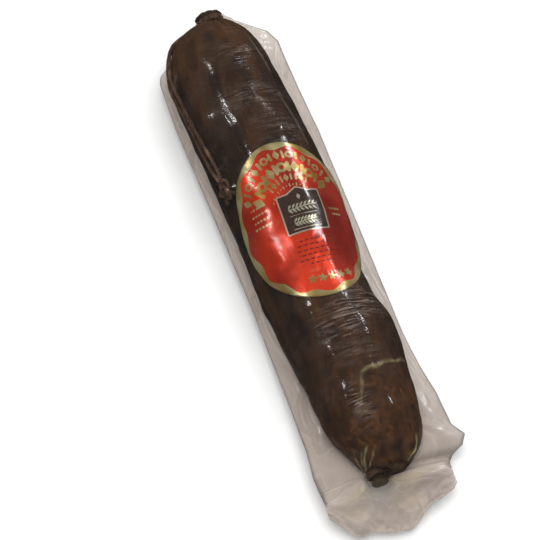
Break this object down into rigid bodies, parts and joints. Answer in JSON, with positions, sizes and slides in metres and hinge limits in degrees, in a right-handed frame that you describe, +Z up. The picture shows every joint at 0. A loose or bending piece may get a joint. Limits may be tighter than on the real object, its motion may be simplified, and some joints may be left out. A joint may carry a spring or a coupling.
{
  "type": "cured sausage",
  "caption": "Thick dark smoked sausage with a hanging string and an oval foil label, vacuum-sealed in a clear pouch with side flanges and a crumpled skirt, lying on its flattened side.",
  "frame": {"origin": "The middle of the bounding box's underside, on the table under the sausage.", "axes": "+X runs along the sausage from the end with the hanging string to the end with the pouch's crumpled skirt. +Y is to the sausage's side that the hanging string is not on. +Z is up, through the label."},
  "size_m": [0.3028, 0.0816, 0.0544],
  "materials": {
    "casing": "dark smoked natural casing, glossy under the film",
    "twine": "smoked, rough",
    "foil_label": "red metallic foil with a gold edge",
    "film": "clear glossy plastic film, greyish where it stands off the sausage"
  },
  "bodies": {
    "root": {"sausage": "casing", "hanging_string": "twine", "tail_tie": "twine", "label": "foil_label", "upper_film": "film", "lower_film": "film"}
  },
  "joints": []
}
